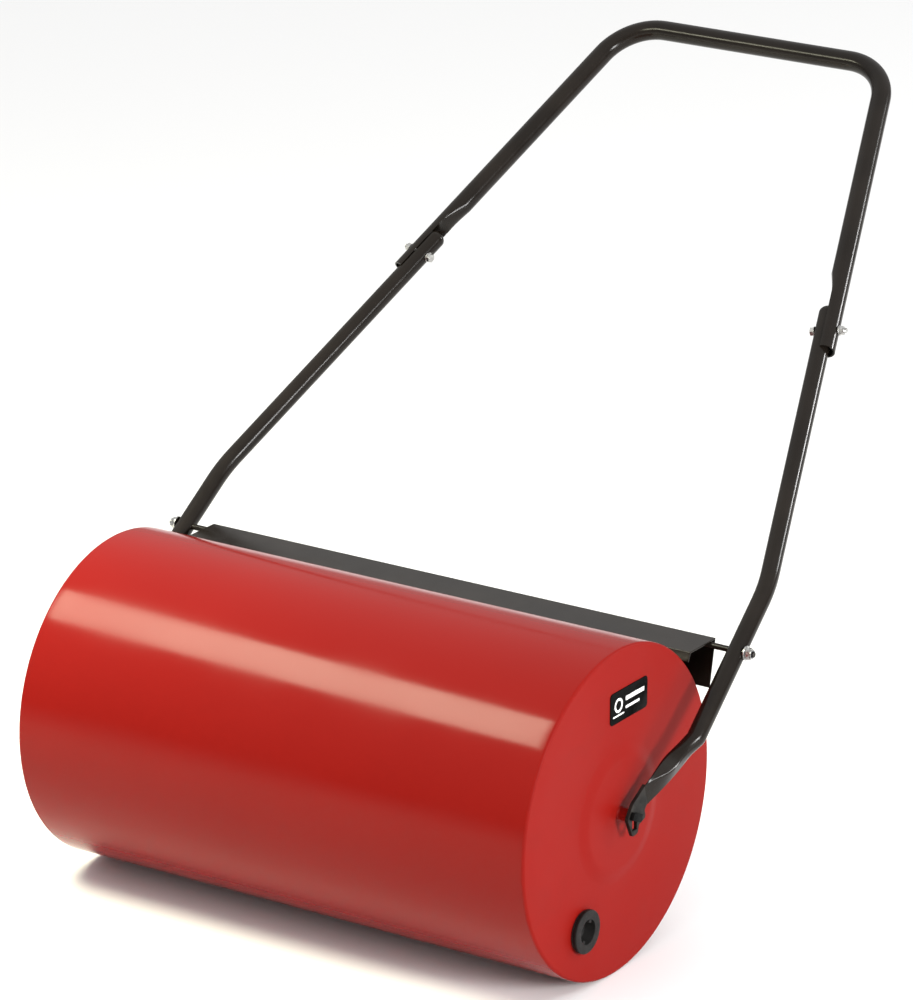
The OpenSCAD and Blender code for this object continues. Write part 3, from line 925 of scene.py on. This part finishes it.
def threaded_rod(bm, place, r, start, end, pitch):
    """A bolt's end with a helical thread, pointing along local Z."""
    steps = 24
    per_turn = 8
    rows = []
    count = int((end - start) / pitch * per_turn)
    for j in range(count + 1):
        z = start + j * pitch / per_turn
        ring = []
        for i in range(steps):
            a = 2 * math.pi * i / steps
            phase = (j / per_turn - i / steps) % 1.0
            depth = abs(phase - 0.5) * 2
            fade = min(1.0, (end - z) / pitch + 0.25)
            rr = (r - 0.6 * pitch * 0.8 * depth * 0.9) * mix(0.86, 1.0, min(1.0, fade))
            ring.append(place @ Vector((rr * math.cos(a), rr * math.sin(a), z)))
        rows.append(ring)
    made = skin_rings(bm, rows)
    bm.faces.new(made[-1])
    bm.faces.new(made[0])


def washer(bm, place, r, bore, t):
    """A flat washer with broken edges, standing on local Z."""
    steps = 48
    edge = 0.2 * MM
    profile = [(bore, 0), (r - edge, 0), (r, edge), (r, t - edge), (r - edge, t)]
    profile += [(bore + edge, t), (bore, t - edge)]
    rows = skin_rings(bm, [circle_at(place, rr, z, steps) for rr, z in profile])
    join_rows(bm, rows[-1], rows[0])


def frame_at(origin, axis, spin=0.0):
    """A matrix whose local Z is axis, for a piece at origin."""
    turn = Vector(axis).to_track_quat("Z", "Y").to_matrix().to_4x4()
    return Matrix.Translation(origin) @ turn @ Matrix.Rotation(spin, 4, "Z")


def mirrored(place, side):
    return Matrix.Diagonal((side, 1, 1, 1)) @ place


def handle_fasteners(zinc):
    """Bolt heads, washers, nuts and threaded ends at the two lap joints."""
    axis = (leg_point(0, 1.0) - leg_point(0, 0.0)).normalized()
    head_x = -LOWER_R - BOLT_WASHER_T
    nut_x = AXIS_GAP + UPPER_R + BOLT_WASHER_T

    def bolts(bm):
        for side in (1, -1):
            head = mirrored(frame_at(leg_point(0, head_x), -axis, 0.3), side)
            hex_profile(bm, head, BOLT_FLATS, BOLT_HEAD_H)
            place = mirrored(frame_at(leg_point(0, 0), axis), side)
            threaded_rod(bm, place, BOLT_R, head_x, nut_x + BOLT_NUT_H + 3 * MM, BOLT_PITCH)

    def nuts(bm):
        for side in (1, -1):
            place = mirrored(frame_at(leg_point(0, nut_x), axis, 0.5), side)
            hex_profile(bm, place, BOLT_FLATS, BOLT_NUT_H, BOLT_R)

    def washers(bm):
        for side in (1, -1):
            for x in (head_x, nut_x - BOLT_WASHER_T):
                place = mirrored(frame_at(leg_point(0, x), axis), side)
                washer(bm, place, BOLT_WASHER_R, BOLT_R, BOLT_WASHER_T)

    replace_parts(new_object("handle_bolt_set", bolts, "handle_frame", zinc, 30), "handle_bolts")
    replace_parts(new_object("handle_nut_set", nuts, "handle_frame", zinc, 30), "handle_nuts")
    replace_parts(new_object("handle_washer_set", washers, "handle_frame", zinc, 30), "handle_washers")


def rod_fasteners(paint, zinc, blue):
    """Threaded rod ends, large washers and lock nuts outside the lower tubes."""
    tube_u = BEND_U + (BEND_S - ROD_S) * math.tan(FOOT_TILT)
    washer_x = tube_u + LOWER_R / math.cos(FOOT_TILT) + ROD_WASHER_R * math.tan(FOOT_TILT)
    nut_x = washer_x + ROD_WASHER_T
    end_x = nut_x + ROD_NUT_H + ROD_CROWN_H + ROD_TAIL
    middle = handle_point(0, ROD_S)

    def rod(bm):
        place = frame_at(middle, Vector((1, 0, 0)))
        steps = 40
        plain = washer_x - 2 * MM
        rings = [circle_at(place, ROD_R, z, steps) for z in (-plain, -plain / 2, 0, plain / 2, plain)]
        rows = skin_rings(bm, rings)
        bm.faces.new(rows[0])
        bm.faces.new(rows[-1])
        for side in (1, -1):
            threaded_rod(bm, mirrored(place, side), ROD_R, plain, end_x, ROD_PITCH)

    def nuts(bm):
        for side in (1, -1):
            place = mirrored(frame_at(middle + Vector((nut_x, 0, 0)), Vector((1, 0, 0)), 0.2), side)
            hex_profile(bm, place, ROD_FLATS, ROD_NUT_H, ROD_R, ROD_CROWN_H)

    def washers(bm):
        for side in (1, -1):
            place = mirrored(frame_at(middle + Vector((washer_x, 0, 0)), Vector((1, 0, 0))), side)
            washer(bm, place, ROD_WASHER_R, ROD_R, ROD_WASHER_T)

    def inserts(bm):
        for side in (1, -1):
            place = mirrored(frame_at(middle + Vector((nut_x + 5.0 * MM, 0, 0)), Vector((1, 0, 0))), side)
            washer(bm, place, INSERT_R, ROD_R, 1.0 * MM)

    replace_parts(new_object("cross_rod", rod, "handle_frame", paint, 30), "scraper_rod")
    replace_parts(new_object("rod_nut_set", nuts, "handle_frame", zinc, 30), "rod_nuts")
    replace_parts(new_object("rod_washer_set", washers, "handle_frame", zinc, 30), "rod_washers")
    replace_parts(new_object("nut_insert_set", inserts, "handle_frame", blue, 30), "nut_inserts")


# ---- CAD pieces that keep their own mesh ----

def dress(node, material, width=0.0):
    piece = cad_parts[node]
    piece.data.materials.clear()
    piece.data.materials.append(material)
    if width:
        weld = piece.modifiers.new("weld", "WELD")
        weld.merge_threshold = 1e-5
        bevel_edges(piece, width)


# ---- stage ----

def soft_light(name, place, target, size_x, size_y, power, colour=(1, 1, 1)):
    data = bpy.data.lights.new(name, "AREA")
    data.shape = "RECTANGLE"
    data.size = size_x
    data.size_y = size_y
    data.energy = power
    data.color = colour
    lamp = bpy.data.objects.new(name, data)
    lamp.location = place
    lamp.rotation_euler = (Vector(target) - Vector(place)).to_track_quat("-Z", "Y").to_euler()
    bpy.context.scene.collection.objects.link(lamp)
    return lamp


def soft_box(name, place, turn, size_x, size_y, power, colour):
    """A level soft box that shines straight down, turned about the vertical by degrees."""
    lamp = soft_light(name, place, Vector(place) - Vector((0, 0, 1)), size_x, size_y, power, colour)
    lamp.rotation_euler = (0, 0, math.radians(turn))
    return lamp


def studio():
    """Pale floor under a sky that is brighter overhead than at the horizon."""
    mesh = bpy.data.meshes.new("floor")
    bm = bmesh.new()
    half = 12.0
    corners = [bm.verts.new((x * half, y * half, 0)) for x, y in ((-1, -1), (1, -1), (1, 1), (-1, 1))]
    bm.faces.new(corners)
    bm.to_mesh(mesh)
    bm.free()
    floor = bpy.data.objects.new("floor", mesh)
    bpy.context.scene.collection.objects.link(floor)
    pale = Shader("floor_pale", (0.83, 0.83, 0.83), 0.9)
    pale.surface.inputs["Specular IOR Level"].default_value = 0.1
    mesh.materials.append(pale.material)
    world = bpy.data.worlds.new("studio")
    bpy.context.scene.world = world
    world.use_nodes = True
    nodes, links = world.node_tree.nodes, world.node_tree.links
    sky = nodes["Background"]
    sky.inputs["Color"].default_value = (1, 1, 1, 1)
    way = nodes.new("ShaderNodeTexCoord")
    height = nodes.new("ShaderNodeSeparateXYZ")
    fade = nodes.new("ShaderNodeMapRange")
    fade.inputs["From Max"].default_value = 0.8
    fade.inputs["To Min"].default_value = 0.35
    fade.inputs["To Max"].default_value = 1.2
    links.new(way.outputs["Generated"], height.inputs["Vector"])
    links.new(height.outputs["Z"], fade.inputs["Value"])
    links.new(fade.outputs["Result"], sky.inputs["Strength"])


def camera():
    data = bpy.data.cameras.new("view")
    data.lens = 203.49
    data.sensor_width = 36
    data.clip_start = 0.1
    data.clip_end = 60
    eye = bpy.data.objects.new("view", data)
    eye.location = (2.8095, -4.0826, 2.1451)
    eye.rotation_euler = (math.radians(90 - 19.31), 0, math.radians(33.5))
    bpy.context.scene.collection.objects.link(eye)
    bpy.context.scene.camera = eye


red = red_enamel("drum_paint", 0.12, 0.105)
cap_red = red_enamel("cap_paint", 0.45, 0.06)
dark = frame_paint()
bright = zinc_plate()
black = plug_plastic()
steel = bare_steel()

drum_shell(red)
end_cap(1, "cap_skin_right", "end_cap_right", cap_red, red)
end_cap(-1, "cap_skin_left", "end_cap_left", cap_red, red)
axle = axle_paint()
stub_head(1, "stub_right", "axle_stub_right", axle)
stub_head(-1, "stub_left", "axle_stub_left", axle)
stub_collar(1, "stub_collar_right", cap_red)
stub_collar(-1, "stub_collar_left", cap_red)
filler_plug(black)
plug_keys(black)
label_plate(label_film())
label_marks(label_ink())
for node in ("stub_plate_right", "stub_plate_left", "filler_socket"):
    dress(node, steel)
dress("filler_gasket", rubber())

lower_tube(1, "lower_tube_skin_right", "lower_tube_right", dark)
lower_tube(-1, "lower_tube_skin_left", "lower_tube_left", dark)
dull = foot_paint()
foot_plate("foot_plate_right", 1, dull)
foot_plate("foot_plate_left", -1, dull)
upper_handle(dark)
handle_fasteners(bright)
rod_fasteners(dark, bright, nylon())
dress("scraper_blade", dark, 0.5 * MM)
dress("scraper_lugs", dark, 0.3 * MM)

studio()
camera()
# the key makes the band along the drum, the side lights the right cap, the rim the right leg
soft_box("key", (-0.641, -0.473, 1.19), -16.6, 0.74, 0.45, 29, (1, 0.98, 0.74))
soft_light("side", (2.73, -0.39, 0.94), (0.28, 0, 0.16), 0.7, 0.7, 76)
soft_light("rim", (2.6, 3.2, 1.6), (0.2, 0.6, 0.6), 0.5, 0.5, 60)
bpy.context.scene.view_settings.view_transform = "Standard"
